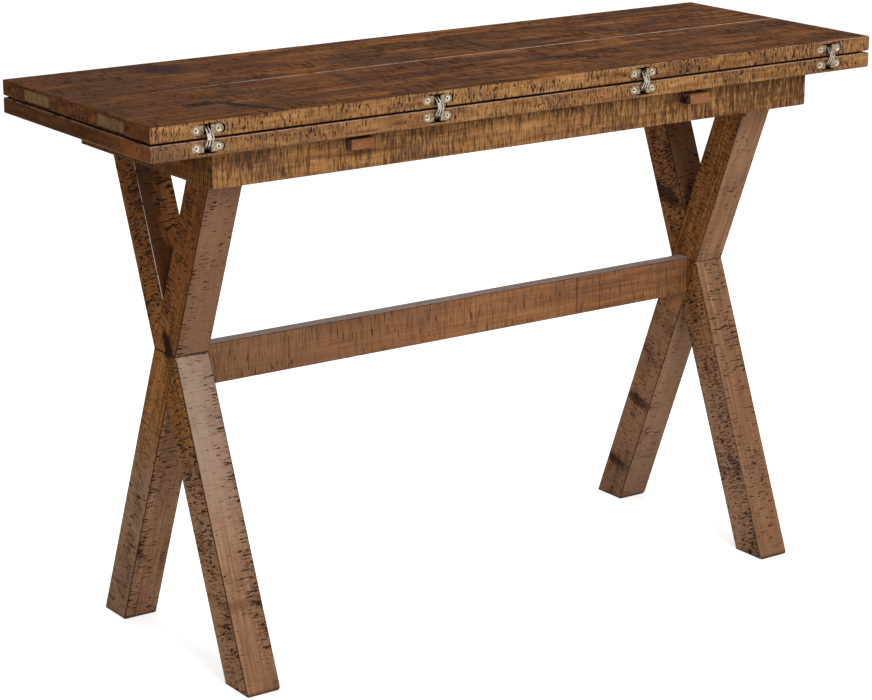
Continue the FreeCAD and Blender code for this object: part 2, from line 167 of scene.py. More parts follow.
def mark_arrises(piece, reach, axes=(X, Y, Z)):
    """Store how near each point is to an arris, as an attribute for colour and a group for wear."""
    points = np.array([point.co for point in piece.data.vertices])
    places = points[:, list(axes)]
    gaps = np.sort(np.minimum(places - places.min(0), places.max(0) - places), axis=1)
    near = np.clip(1 - gaps[:, 1] / reach, 0, 1)
    attribute = piece.data.attributes.new("arris", "FLOAT", "POINT")
    attribute.data.foreach_set("value", near.astype(np.float32))
    group = piece.vertex_groups.new(name="arris")
    for index in np.nonzero(near > 0.05)[0]:
        group.add([int(index)], float(near[index]), "REPLACE")


def wear_down(piece, size, depth, group=""):
    """Take an uneven skin off a piece, as handling and rubbing do. It only ever goes inwards."""
    clouds = bpy.data.textures.new(piece.name + "_wear", "CLOUDS")
    clouds.noise_scale = size
    clouds.noise_depth = 2
    clouds.intensity = 0.85
    apply_modifier(piece, "DISPLACE", texture=clouds, texture_coords="LOCAL", mid_level=1,
                   strength=depth, vertex_group=group)
    bpy.data.textures.remove(clouds)


def weather(piece, reach, wear, axes=(X, Y, Z)):
    """Mark the arrises, then wear the faces broadly and the arrises finely, by size and depth."""
    faces, arrises = wear
    mark_arrises(piece, reach, axes)
    wear_down(piece, *faces)
    wear_down(piece, *arrises, "arris")


def smooth(piece):
    alone(piece)
    bpy.ops.object.shade_smooth_by_angle(angle=smooth_angle)


def linear(tone):
    """A colour as seen on screen, 0 to 255 a channel, as the linear one that a shader takes."""
    shares = [channel / 255 for channel in tone]
    return (*(s / 12.92 if s <= 0.04045 else ((s + 0.055) / 1.055) ** 2.4 for s in shares), 1)


def feed(tree, node, inputs):
    """Set a node's inputs, or link them where the value is another node's output."""
    for key, value in dict(inputs).items():
        if isinstance(value, bpy.types.NodeSocket):
            tree.links.new(value, node.inputs[key])
        else:
            node.inputs[key].default_value = value


def add_node(tree, kind, inputs=(), **settings):
    node = tree.nodes.new("ShaderNode" + kind)
    for setting, value in settings.items():
        setattr(node, setting, value)
    feed(tree, node, inputs)
    return node


def empty_tree(owner):
    owner.use_nodes = True
    owner.node_tree.nodes.clear()
    return owner.node_tree


def object_place(tree):
    return add_node(tree, "TexCoord").outputs["Object"]


def noise(tree, vector, cells, detail=2.0, roughness=0.5, distortion=0.0):
    """A noise with so many cells per metre along the member and across it."""
    sizes = {0: vector, 1: (*cells, cells[1])}
    scaled = add_node(tree, "VectorMath", sizes, operation="MULTIPLY")
    return add_node(tree, "TexNoise", {
        "Vector": scaled.outputs[0], "Scale": 1, "Detail": detail, "Roughness": roughness,
        "Distortion": distortion}).outputs["Fac"]


def weigh(tree, value, weight, base=0.0):
    """A value times its weight, on top of a base."""
    parts = {0: value, 1: weight, 2: base}
    return add_node(tree, "Math", parts, operation="MULTIPLY_ADD").outputs[0]


def level(tree, value, start, end, top=1.0, bottom=0.0):
    """A smooth step between two values, held at its ends."""
    return add_node(tree, "MapRange", {
        "Value": value, "From Min": start, "From Max": end, "To Min": bottom, "To Max": top},
        interpolation_type="SMOOTHSTEP").outputs["Result"]


def tint(tree, skin, share, tone):
    """Lay a colour over the skin by a share."""
    return add_node(tree, "Mix", {0: share, 6: skin, 7: linear(tone)}, data_type="RGBA").outputs[2]


def tones(tree, value, places, colours):
    """A ramp of colours at their places."""
    node = add_node(tree, "ValToRGB", {0: value})
    ramp = node.color_ramp
    while len(ramp.elements) < len(places):
        ramp.elements.new(0.5)
    for element, place, tone in zip(ramp.elements, places, colours):
        element.position = place
        element.color = linear(tone)
    return node.outputs[0]


def split(tree, vector):
    return add_node(tree, "SeparateXYZ", {0: vector}).outputs


def new_finish(name):
    """An empty finish: its material, node tree and surface shader."""
    material = bpy.data.materials.new(name)
    tree = empty_tree(material)
    shader = add_node(tree, "BsdfPrincipled")
    add_node(tree, "OutputMaterial", {0: shader.outputs[0]})
    return material, tree, shader


def relief(tree, height, depth, strength):
    bump = {"Strength": strength, "Distance": depth, "Height": height}
    return add_node(tree, "Bump", bump).outputs[0]


def sawn_finish(name, ground, mark, turn=(0, 0, 0), shift=(0, 0, 0), figure=(7, 110),
                broad=(3.5, 9), stripe=(260, 18), stripe_wave=0.2, stripe_start=0.43,
                stripe_share=0.35, dash=(350, 85), dash_start=0.6, dash_share=0.9, patch=(16, 30),
                patch_pull=0.35, smear=(104, 80, 70), smear_share=0.3, gathers=(), own_gathers=(),
                fades=(), knots=(), rub_and_highlight=worn_wood, rub_and_highlight_share=0.4, rub_and_highlight_zones=(), rub_and_highlight_start=0.42,
                rub_and_highlight_near=0.7, grime_share=0.35, grime_near=0.7, roughness=0.55, specular=0.015):
    """Rough-sawn stained wood: long figure, striations and saw dashes across it, worn arrises.

    Patterns are in cells per metre. Fades, gathers and the zones of worn, pale arris grow along an
    axis from a start to where they are full: to a colour, to more saw marks and to more rubbing.
    The pale arris colour is partly rubbing and partly a painted highlight.
    """
    material, tree, shader = new_finish(name)
    place = object_place(tree)
    mapping = {"Vector": place, "Rotation": turn, "Location": shift}
    own = add_node(tree, "Mapping", mapping).outputs[0]
    place_parts = split(tree, place)
    own_parts = split(tree, own)
    fibres = noise(tree, own, (30, 900), 2, 0.6)
    grain = weigh(tree, noise(tree, own, figure, 4, 0.6, 0.4), 0.5, weigh(tree, fibres, 0.18))
    grain = weigh(tree, noise(tree, own, broad), 0.34, grain)
    skin = tones(tree, grain, (0.36, 0.5, 0.64), ground)
    for axis, start, end, tone, share in fades:
        skin = tint(tree, skin, level(tree, place_parts[axis], start, end, share), tone)

    patches = noise(tree, own, patch, 3, 0.55)
    pull = weigh(tree, patches, patch_pull, -0.5 * patch_pull)
    for axis, start, end, amount in gathers:
        pull = weigh(tree, pull, 1, level(tree, place_parts[axis], start, end, amount))
    for axis, start, end, amount in own_gathers:
        nearer = level(tree, own_parts[axis], start + shift[axis], end + shift[axis], amount)
        pull = weigh(tree, pull, 1, nearer)
    lines = weigh(tree, noise(tree, own, stripe, 3, 0.65, stripe_wave), 1, pull)
    stripes = level(tree, lines, stripe_start, stripe_start + 0.12)
    skin = tint(tree, skin, weigh(tree, stripes, stripe_share), ground[0])
    skin = tint(tree, skin, level(tree, patches, 0.5, 0.68, smear_share), smear)

    ragged = noise(tree, own, (60, 200), 3, 0.6)
    for centre, size, angle, tone, share in knots:
        ellipse = {"Vector": place, "Location": centre, "Rotation": angle, "Scale": size}
        unit = add_node(tree, "Mapping", ellipse, vector_type="TEXTURE").outputs[0]
        out = add_node(tree, "VectorMath", {0: unit}, operation="LENGTH").outputs[1]
        reach = weigh(tree, ragged, 1.2, out)
        skin = tint(tree, skin, level(tree, reach, 1.7, 1.05, share), tone)
    dashes = weigh(tree, noise(tree, own, dash, 2, 0.5, 0.1), 1, pull)
    dashes = level(tree, dashes, dash_start, dash_start + 0.06)
    skin = tint(tree, skin, weigh(tree, dashes, dash_share), mark)

    near = add_node(tree, "Attribute", attribute_name="arris").outputs["Fac"]
    skin = tint(tree, skin, level(tree, near, grime_near, grime_near + 0.16, grime_share), mark)
    broken = level(tree, noise(tree, own, (50, 50), 3, 0.6), rub_and_highlight_start, rub_and_highlight_start + 0.14)
    rub_and_highlight_mask = weigh(tree, level(tree, near, rub_and_highlight_near, rub_and_highlight_near + 0.16), broken)
    for axis, start, end in rub_and_highlight_zones:
        rub_and_highlight_mask = weigh(tree, rub_and_highlight_mask, level(tree, place_parts[axis], start, end))
    skin = tint(tree, skin, weigh(tree, rub_and_highlight_mask, rub_and_highlight_share), rub_and_highlight)

    gloss = weigh(tree, dashes, 0.2, roughness)
    height = weigh(tree, stripes, -0.35, fibres)
    height = weigh(tree, dashes, -0.9, height)
    feed(tree, shader, {
        "Base Color": skin, "Roughness": weigh(tree, fibres, 0.12, gloss),
        "Specular IOR Level": specular, "Normal": relief(tree, height, 0.4 * MM, 0.8)})
    return material


def lay_finishes(piece, finishes):
    """Give faces their finish by the axis that they face: finishes are for X, Y and Z."""
    order = list(dict.fromkeys(finishes))
    for finish in order:
        piece.data.materials.append(finish)
    for face in piece.data.polygons:
        size = [abs(part) for part in face.normal]
        size[X] = size[X] if size[X] > 0.95 else 0
        face.material_index = order.index(finishes[size.index(max(size))])


def sawn_board(name, seam_side, top_share, bottom_share):
    """A leaf board, cut fine for its wear, roundest at its right end and tightest at the seam."""
    low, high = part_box(name + "_board")
    piece = block(name, low, high)
    seam_y = high.y if seam_side > 0 else low.y

    def share(middle, direction):
        at_seam = abs(middle.y - seam_y) < TOUCHING
        if along(direction, Y) and middle.x > 0:
            return top_share if middle.z > (low.z + high.z) / 2 else bottom_share
        if along(direction, Y):
            return left_end_share
        if along(direction, X):
            return seam_arris_share if at_seam else board_arris_share
        if at_seam:
            return 0
        return right_corner_share if middle.x > 0 else left_corner_share

    round_shares(piece, board_corner, 4, share)
    ring_cuts(piece, board_cells)
    edge_loops(piece)
    weather(piece, arris_reach, board_wear)
    smooth(piece)
    return piece


purple_mark = (56, 38, 32)
# The pale arris colour on the leaves is partly rubbing and partly a painted highlight, strongest
# along the seam and the front top arrises.
pale_rub_and_highlight = (196, 166, 152)
top_ground = ((40, 22, 8), (87, 50, 22), (145, 90, 42))
top_mark = (38, 23, 13)
top_z = 0.79
knot_red = (48, 22, 15)
knot_dark = (28, 18, 12)
dark_knots = (
    (-0.349, 0.077, 0.020, 0.007, 0.03, 0.7),
    (-0.481, -0.102, 0.030, 0.013, -0.08, 1.0),
    (-0.436, -0.144, 0.070, 0.010, -1.11, 1.0),
    (-0.401, -0.045, 0.026, 0.011, -0.17, 0.7),
    (-0.221, -0.038, 0.062, 0.008, -1.62, 0.5),
    (0.085, 0.074, 0.066, 0.009, -1.6, 0.6),
    (0.051, 0.050, 0.034, 0.008, -1.55, 0.6),
    (0.239, 0.151, 0.030, 0.018, 0.18, 0.6),
    (0.164, 0.062, 0.042, 0.014, 0.01, 0.55),
    (0.112, -0.039, 0.050, 0.008, -1.71, 0.6),
    (0.148, -0.101, 0.064, 0.009, -0.53, 0.7),
    (0.239, -0.159, 0.056, 0.010, 0.21, 0.45))
top_knots = [((-0.395, 0.152, top_z), (0.046, 0.048, 1), (0, 0, 0.2), knot_red, 0.95)]
top_knots += [((x, y, top_z), (length, width, 1), (0, 0, angle), knot_dark, share)
              for x, y, length, width, angle, share in dark_knots]
top_marks = dict(figure=(12, 120), broad=(6, 30), stripe=(150, 24), stripe_start=0.48,
                 dash=(180, 55), dash_start=0.585, dash_share=0.55, patch=(9, 20),
                 smear=(70, 46, 25), smear_share=0.4, rub_and_highlight=pale_rub_and_highlight, rub_and_highlight_start=0.33, rub_and_highlight_near=0.56,
                 grime_share=0.0)
top_finish = sawn_finish(
    "top_finish", top_ground, top_mark, knots=top_knots, gathers=((X, -0.3, 0.4, 0.02),),
    fades=((X, -0.1, -0.5, (68, 39, 18), 0.45),), rub_and_highlight_share=0.9,
    rub_and_highlight_zones=((X, -0.6, -0.2), (Y, -0.19, -0.18), (Y, 0.15, 0.1)), **top_marks)
edge_ground = ((92, 58, 35), (155, 110, 68), (190, 142, 90))
edge_marks = dict(figure=(16, 120), stripe=(420, 70), stripe_wave=0.4, stripe_start=0.48,
                  stripe_share=0.7, dash=(370, 110), dash_start=0.59, dash_share=1.0,
                  patch=(12, 24), patch_pull=0.28, smear=(110, 80, 70), rub_and_highlight=pale_rub_and_highlight)
upper_edge_finish = sawn_finish(
    "upper_edge_finish", edge_ground, purple_mark, shift=(0.31, 0.07, 0.02),
    gathers=((X, -0.45, 0.0, 0.01),), fades=((X, 0.2, 0.45, (176, 126, 78), 0.35),),
    rub_and_highlight_share=0.85, rub_and_highlight_zones=((X, 0.0, 0.25), (Z, 0.785, 0.79)), **edge_marks)
end_ground = ((54, 29, 11), (90, 53, 24), (126, 78, 37))
end_seam = ((0, 0, 0), (1, 0.0022, 1), (0, 0, 0), (34, 24, 20), 0.9)
end_finish = sawn_finish(
    "end_finish", end_ground, (38, 22, 14), turn=across_table, shift=(0.1, 0.4, 0),
    figure=(30, 160), broad=(14, 20), stripe=(120, 40), stripe_start=0.5, stripe_share=0.5,
    dash=(160, 90), dash_share=0.7, smear_share=0.1, rub_and_highlight_share=0.0,
    fades=((Y, -0.08, -0.2, (134, 78, 36), 0.45),), knots=(end_seam,))
upper_front = sawn_board("upper_leaf_front", 1, 0.45, 0.85)
upper_rear = sawn_board("upper_leaf_rear", -1, 0.45, 0.85)
for piece in (upper_front, upper_rear):
    lay_finishes(piece, (end_finish, upper_edge_finish, top_finish))
    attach(piece, "flip_leaf")
    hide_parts(piece.name + "_board")

# Lower leaf boards
# The fixed leaf is a second pair of boards, cut and finished like the first and screwed down on
# the aprons. Its upper face only shows when the other leaf is open beside it.
lower_edge_finish = sawn_finish(
    "lower_edge_finish", edge_ground, purple_mark, shift=(1.7, 0.9, 0.35),
    gathers=((X, -0.5, 0.1, 0.02),), rub_and_highlight_share=0.95, rub_and_highlight_start=0.36,
    rub_and_highlight_zones=((Z, 0.763, 0.767),), fades=((X, -0.1, -0.45, (122, 87, 56), 0.35),
                                           (X, -0.53, -0.6, (110, 84, 68), 0.65)), **edge_marks)
bed_finish = sawn_finish("bed_finish", top_ground, top_mark, shift=(0.7, 0.5, 0.2), rub_and_highlight_share=0.3,
                         **top_marks)
lower_end_finish = sawn_finish(
    "lower_end_finish", end_ground, (42, 26, 18), turn=across_table, shift=(0.6, 0.9, 0.3),
    figure=(12, 160), stripe=(60, 60), stripe_share=0.3, dash=(140, 90), dash_start=0.64,
    dash_share=0.5, smear_share=0.1, rub_and_highlight_share=0.0,
    fades=((Y, -0.05, -0.18, (146, 88, 48), 0.75), (Y, 0.1, 0.19, (48, 28, 16), 0.4)))
lower_front = sawn_board("lower_leaf_front", 1, 0.85, 1)
lower_rear = sawn_board("lower_leaf_rear", -1, 0.85, 1)
for piece in (lower_front, lower_rear):
    lay_finishes(piece, (lower_end_finish, lower_edge_finish, bed_finish))
    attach(piece, "base")
    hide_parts(piece.name + "_board")

# End plugs
# Pale blocks of end grain close the mortises in the ends of the upper boards, where battens once
# ran. They are glued in and planed flush, so each shows as a lighter patch with a thin dark joint.
plug_round = 0.5 * MM
plug_joint = 0.25 * MM
plug_depth = 14 * MM
plug_width = 72 * MM
plug_reach = 2 * MM
plug_cells = ((Y, 4 * MM), (Z, 4 * MM))
plug_wear = (12 * MM, 0.3 * MM)
plug_low, plug_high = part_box("leaf_end_plugs")


def round_edges(piece, width, segments, test):
    pick(piece, "EDGE", lambda edge: test(*run_of(piece, edge)))
    bpy.ops.mesh.bevel(offset=width, segments=segments, profile=0.5, affect="EDGES")
    mode("OBJECT")


def cut_away(piece, cutter, operation="DIFFERENCE", materials="INDEX"):
    """Cut one piece with another, or join the two, and throw the other away."""
    apply_modifier(piece, "BOOLEAN", operation=operation, material_mode=materials, solver="EXACT",
                   object=cutter)
    bpy.data.objects.remove(cutter)


def gather(parts, name):
    """Join loose parts of one kind into one named piece."""
    alone(parts[0])
    for part in parts:
        part.select_set(True)
    bpy.ops.object.join()
    piece = bpy.context.object
    piece.name = name
    return piece


plug_finish = sawn_finish(
    "plug_finish", ((92, 68, 42), (122, 93, 60), (142, 114, 78)), (60, 44, 30),
    turn=(0, -QUARTER, 0), figure=(60, 130), stripe=(30, 420), dash=(160, 160), dash_start=0.68,
    dash_share=0.4, smear_share=0.0, rub_and_highlight_share=0.1, grime_share=0.5)
plug_parts = []
plug_boxes = []
for x_low in (plug_low.x, plug_high.x - plug_depth):
    for y_low in (plug_low.y, plug_high.y - plug_width):
        corner = Vector((x_low, y_low, plug_low.z))
        far = corner + Vector((plug_depth, plug_width, plug_high.z - plug_low.z))
        plug_boxes.append((corner, far))
        gap = Vector((0, plug_joint, plug_joint))
        plug = block("plug", corner + gap, far - gap)
        round_edges(plug, plug_round, 2, lambda middle, direction: True)
        ring_cuts(plug, plug_cells)
        mark_arrises(plug, plug_reach)
        wear_down(plug, *plug_wear)
        plug_parts.append(plug)
past_end = Vector((5 * MM, 0, 0))
for board, row in ((upper_front, 0), (upper_rear, 1)):
    for corner, far in plug_boxes[row::2]:
        near_past, far_past = (corner, far + past_end) if corner.x > 0 else (corner - past_end, far)
        cut_away(board, block("mortise", near_past, far_past))
plugs = gather(plug_parts, "end_plugs")
plugs.data.materials.append(plug_finish)
smooth(plugs)
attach(plugs, "flip_leaf")
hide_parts("leaf_end_plugs")

# Hinge plates
# Eight cast plates of nickel-finished zinc sit in the front edges, four in each leaf. Each is an
# obround with a deep barrel behind it, a window for the links and two countersunk holes.
plate_length = 46.8 * MM
plate_height = 12 * MM
plate_thick = 3 * MM
barrel_width = 24 * MM
barrel_depth = 18 * MM
window_width = 11 * MM
window_depth = 16.6 * MM
window_clear = 2 * MM
hole_places = (-16.2 * MM, 16.2 * MM)
screw_radius = 1.6 * MM
head_radius = 3.8 * MM
head_height = 2.2 * MM
hole_clear = 0.35 * MM
plate_soft = 0.35 * MM
soft_angle = math.radians(30)
HAIR = 0.01 * MM
plates_low, plates_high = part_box("lower_hinge_bodies")
plate_face = plates_low.y
plate_z = (plates_low.z + plates_high.z) / 2
hinge_z = (plates_high.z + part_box("upper_hinge_bodies")[0].z) / 2
hinge_reach = plates_high.x - plate_length / 2
hinge_places = [hinge_reach * share for share in (-1, -1 / 3, 1 / 3, 1)]
leaf_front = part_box("lower_leaf_front_board")[0].y
leaf_rows = ((False, "base", "lower"), (True, "flip_leaf", "upper"))


def obround(name, length, height, low_y, high_y, z):
    """A flat obround facing the front: a disc whose two halves are drawn apart."""
    piece = primitive(bpy.ops.mesh.primitive_cylinder_add, name, vertices=48, radius=height / 2,
                      depth=high_y - low_y, location=(0, (low_y + high_y) / 2, z),
                      rotation=(QUARTER, 0, 0))
    for side in (-1, 1):
        pick(piece, "VERT", lambda point: point.co.x * side > HAIR)
        bpy.ops.transform.translate(value=(side * (length - height) / 2, 0, 0))
        mode("OBJECT")
    return piece


def span(name, x0, x1, y0, y1, z0, z1):
    return block(name, Vector((x0, y0, z0)), Vector((x1, y1, z1)))


def countersink(name, radius, x, sunk):
    """A cone as deep as a screw head."""
    return primitive(bpy.ops.mesh.primitive_cone_add, name, vertices=32, radius1=radius,
                     radius2=screw_radius, depth=head_height, rotation=(-QUARTER, 0, 0),
                     location=(x, plate_face + head_height / 2 + sunk, plate_z))


def copy_at(piece, x, flipped):
    """A copy with its own mesh, moved along the leaf, and for the upper leaf turned over."""
    copy = piece.copy()
    copy.data = piece.data.copy()
    bpy.context.scene.collection.objects.link(copy)
    if flipped:
        over = Matrix.Translation((0, 0, 2 * hinge_z)) @ Matrix.Diagonal((1, 1, -1, 1))
        copy.data.transform(over)
        pick(copy, "FACE", lambda face: True)
        bpy.ops.mesh.normals_make_consistent(inside=False)
        mode("OBJECT")
    copy.data.transform(Matrix.Translation((x, 0, 0)))
    return copy


def hinge_set(model, name, flipped, body, node):
    """Four copies of one hinge part, along one leaf, as one piece."""
    piece = gather([copy_at(model, x, flipped) for x in hinge_places], name)
    smooth(piece)
    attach(piece, body)
    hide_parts(node)


def soften(piece, width):
    apply_modifier(piece, "BEVEL", width=width, segments=2, limit_method="ANGLE",
                   angle_limit=soft_angle, use_clamp_overlap=True)


def metal_finish(name, light, dull, roughness, grime):
    """Plated metal with fine pitting, cloudy tarnish and grime in the hollows of its noise."""
    material, tree, shader = new_finish(name)
    place = object_place(tree)
    cloud = noise(tree, place, (260, 260), 3, 0.6)
    pits = noise(tree, place, (1800, 1800), 2, 0.5)
    dirt = level(tree, noise(tree, place, (420, 420), 4, 0.65), 0.56, 0.68)
    skin = tones(tree, cloud, (0.36, 0.6), (dull, light))
    rough = weigh(tree, cloud, 0.25, roughness)
    height = weigh(tree, pits, 0.5, cloud)
    feed(tree, shader, {
        "Base Color": tint(tree, skin, weigh(tree, dirt, 0.6), grime), "Metallic": 1,
        "Roughness": weigh(tree, dirt, 0.2, rough),
        "Normal": relief(tree, height, 0.12 * MM, 0.5)})
    return material


nickel = metal_finish("nickel", (168, 148, 120), (112, 94, 70), 0.3, (54, 40, 28))
plate = obround("plate", plate_length, plate_height, plate_face, plate_face + plate_thick, plate_z)
low_z = plate_z - plate_height / 2
high_z = plate_z + plate_height / 2
barrel = span("barrel", -barrel_width / 2, barrel_width / 2, plate_face, plate_face + barrel_depth,
              low_z, high_z)
cut_away(plate, barrel, "UNION")
window = span("window", -window_width / 2, window_width / 2, plate_face - window_clear,
              plate_face + window_depth, low_z - window_clear, high_z + window_clear)
cut_away(plate, window)
for x in hole_places:
    cut_away(plate, countersink("screw_hole", head_radius + hole_clear, x, -HAIR))
soften(plate, plate_soft)
plate.data.materials.append(nickel)
for flipped, body, row in leaf_rows:
    hinge_set(plate, row + "_hinge_plates", flipped, body, row + "_hinge_bodies")
bpy.data.objects.remove(plate)

# Mortises for the hinges
# Each plate is let into the wood of the leaf edge in a routed recess, a little longer than the
# plate, with a deep socket for the barrel. The loose ends of the recess show as dark crescents.
mortise_end_clear = 0.7 * MM
mortise_side_clear = 0.3 * MM
mortise_relief = 1.5 * MM
recess_past = 2 * MM
socket_past = 1 * MM
lower_slack = (0.9 * MM, -0.5 * MM, -1.3 * MM, 0.7 * MM)
upper_slack = (2.0 * MM, 1.0 * MM, 1.2 * MM, 0.8 * MM)
# The recess walls are painted near black as shade inside the recess, which makes its loose ends
# show as dark crescents.
mortise_painted_shade = sawn_finish("mortise_painted_shade", ((24, 15, 10), (34, 22, 14), (46, 30, 20)),
                             (16, 10, 8), rub_and_highlight_share=0.0, smear_share=0.0, roughness=0.8)
for board, flipped, slack in ((lower_front, False, lower_slack), (upper_front, True, upper_slack)):
    height = plate_height + 2 * mortise_side_clear
    half = barrel_width / 2 + mortise_side_clear
    for x, loose in zip(hinge_places, slack):
        length = plate_length + 2 * mortise_end_clear + abs(loose)
        recess = obround("recess", length, height, leaf_front - recess_past,
                         plate_face + plate_thick, plate_z)
        recess.data.transform(Matrix.Translation((loose / 2, 0, 0)))
        socket = span("socket", -half, half, leaf_front - socket_past, plate_face + barrel_depth,
                      plate_z - height / 2 - mortise_relief, plate_z + height / 2 - HAIR)
        cut_away(recess, socket, "UNION")
        recess.data.materials.append(mortise_painted_shade)
        cut_away(board, copy_at(recess, x, flipped), materials="TRANSFER")
        bpy.data.objects.remove(recess)
    smooth(board)

# Hinge screws
# Two countersunk steel screws hold each plate in the leaf. Their heads are dished and have a cross
# recess, which reads as a bright ring round a dark centre.
screw_length = 16 * MM
screw_sunk = 0.05 * MM
screw_point = 0.3
head_rim = 0.8 * MM
dish_slope = 0.4 * MM
dish_depth = 0.35 * MM
cross_length = 3.2 * MM
cross_width = 1.3 * MM
cross_depth = 1.7 * MM
cross_past = 1 * MM
# Faces deep in each cross recess take a near-black finish: painted shade in the recess, which makes
# the dark centre.
shade_below = 0.2 * MM
shade_reach = 0.6 * cross_length
screw_steel = metal_finish("screw_steel", (222, 210, 192), (160, 146, 124), 0.25, (60, 48, 38))
recess_painted_shade = metal_finish("recess_painted_shade", (46, 38, 30), (30, 24, 20), 0.6, (22, 18, 14))
screws = []
for x in hole_places:
    screw = countersink("screw", head_radius, x, screw_sunk)
    pick(screw, "FACE", lambda face: face.normal.y < -0.9)
    bpy.ops.mesh.inset(thickness=head_rim, depth=0)
    bpy.ops.mesh.inset(thickness=dish_slope, depth=-dish_depth)
    mode("OBJECT")
    pick(screw, "FACE", lambda face: face.normal.y > 0.9)
    shank = (0, screw_length - head_height, 0)
    bpy.ops.mesh.extrude_region_move(TRANSFORM_OT_translate={"value": shank})
    bpy.ops.transform.resize(value=(screw_point, 1, screw_point), center_override=(x, 0, plate_z))
    mode("OBJECT")
    for wide, tall in ((cross_length, cross_width), (cross_width, cross_length)):
        cross = span("cross", x - wide / 2, x + wide / 2, plate_face - cross_past,
                     plate_face + cross_depth, plate_z - tall / 2, plate_z + tall / 2)
        cut_away(screw, cross)
    screw.data.materials.append(screw_steel)
    screw.data.materials.append(recess_painted_shade)
    dark_from = plate_face + dish_depth + shade_below
    for face in screw.data.polygons:
        out = math.hypot(face.center.x - x, face.center.z - plate_z)
        face.material_index = int(out < shade_reach and face.center.y > dark_from)
    screws.append(screw)
screw_pair = gather(screws, "screw_pair")
for flipped, body, row in leaf_rows:
    hinge_set(screw_pair, row + "_plate_screws", flipped, body, row + "_hinge_screws")
bpy.data.objects.remove(screw_pair)

# Hinge links
# Flat bent steel arms swing out of each plate on a hidden pin, with a heel that fills the window.
# Three narrow ones come from the lower plate. The upper one has a fork, whose wide web folds down
# over the knee.
pivot_in = 7 * MM
pivot_off = 8 * MM
knee_out = 5.5 * MM
elbow_out = 1.5 * MM
elbow_off = 8 * MM
tail_in = 5.5 * MM
tail_off = 14.2 * MM
arm_half = 1.5 * MM
arm_soft = 0.25 * MM
lower_arms = ((-4.05 * MM, 1.5 * MM), (0, 2.2 * MM), (4.05 * MM, 1.5 * MM))
fork_arms = ((-2.2 * MM, 1.6 * MM), (2.2 * MM, 1.6 * MM))
web_inner = 2.2 * MM
web_outer = 3.0 * MM
web_half = 4.8 * MM
web_past_knee = 1.0 * MM
web_before_elbow = 1.2 * MM
edge_gap = 0.5 * MM
hinge_y = leaf_front - edge_gap
pivot = Vector((0, hinge_y + pivot_in, hinge_z - pivot_off))
elbow = Vector((0, hinge_y - elbow_out, hinge_z - elbow_off))
knee = Vector((0, hinge_y - knee_out, hinge_z))
tail = Vector((0, hinge_y + tail_in, hinge_z - tail_off))


def bar(start, end, near, far, centre, thick):
    """A flat bar from start to end, between two distances on its outward side."""
    run = end - start
    side = Vector((0, -run.z, run.y)).normalized()
    middle = (start + end) / 2 + side * (near + far) / 2 + Vector((centre, 0, 0))
    return primitive(bpy.ops.mesh.primitive_cube_add, "bar", size=1, location=middle,
                     rotation=(math.atan2(run.z, run.y), 0, 0),
                     scale=(thick, run.length, far - near))


def eye(point, centre, thick):
    return primitive(bpy.ops.mesh.primitive_cylinder_add, "eye", vertices=24, radius=arm_half,
                     depth=thick, rotation=(0, QUARTER, 0), location=point + Vector((centre, 0, 0)))


def bent_arm(centre, thick):
    """A heel between pivot, elbow and tail, and a shank from the elbow to the knee."""
    arm = bar(pivot, elbow, -arm_half, arm_half, centre, thick)
    for start, end in ((elbow, knee), (elbow, tail), (tail, pivot), (elbow, (pivot + tail) / 2)):
        cut_away(arm, bar(start, end, -arm_half, arm_half, centre, thick), "UNION")
    for point in (pivot, elbow, knee, tail):
        cut_away(arm, eye(point, centre, thick), "UNION")
    return arm


def link_set(model, row, flipped, node):
    soften(model, arm_soft)
    model.data.materials.append(link_steel)
    hinge_set(model, row, flipped, row, node)
    bpy.data.objects.remove(model)


link_steel = metal_finish("link_steel", (198, 190, 176), (152, 140, 122), 0.28, (88, 74, 56))
arms = gather([bent_arm(centre, thick) for centre, thick in lower_arms], "arms")
link_set(arms, "lower_links", False, "lower_link_arms")
rise = (knee - elbow).normalized()
web_foot = elbow + rise * web_before_elbow
web = bar(web_foot, knee + rise * web_past_knee, web_inner, web_outer, 0, 2 * web_half)
for centre, thick in fork_arms:
    cut_away(web, bent_arm(centre, thick), "UNION")
    cut_away(web, bar(web_foot, knee, 0, web_outer, centre, thick), "UNION")
link_set(web, "upper_links", True, "upper_link_forks")


def dress(finish, *names):
    """Give CAD nodes whose shape is already right their finish."""
    for name in names:
        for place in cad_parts[name].material_slots:
            place.material = finish


dress(link_steel, "lower_hinge_pins", "upper_hinge_pins")

# Bumpers and dowels
# Small felted rubber discs keep the closed leaves apart. Beech dowels in bare wood align the two
# boards of each leaf, and others hold the stretcher in the legs.
rubber, tree, shader = new_finish("bumper_rubber")
speck = noise(tree, object_place(tree), (900, 900), 3, 0.6)
feed(tree, shader, {
    "Base Color": tones(tree, speck, (0.35, 0.7), ((28, 24, 22), (52, 46, 42))),
    "Roughness": level(tree, speck, 0.3, 0.7, 0.95, 0.7),
    "Normal": relief(tree, speck, 0.2 * MM, 0.6)})
dress(rubber, "leaf_bumpers")
bare_ground = ((132, 100, 66), (166, 132, 92), (190, 156, 114))
bare_mark = (96, 70, 46)
bare_wood = dict(figure=(12, 240), stripe_share=0.15, dash_start=0.68, dash_share=0.4,
                 rub_and_highlight_share=0.0, roughness=0.62)
inner_wood = sawn_finish("inner_wood", bare_ground, bare_mark, turn=across_table, **bare_wood)
dress(inner_wood, "lower_leaf_dowels", "upper_leaf_dowels", "stretcher_dowels")

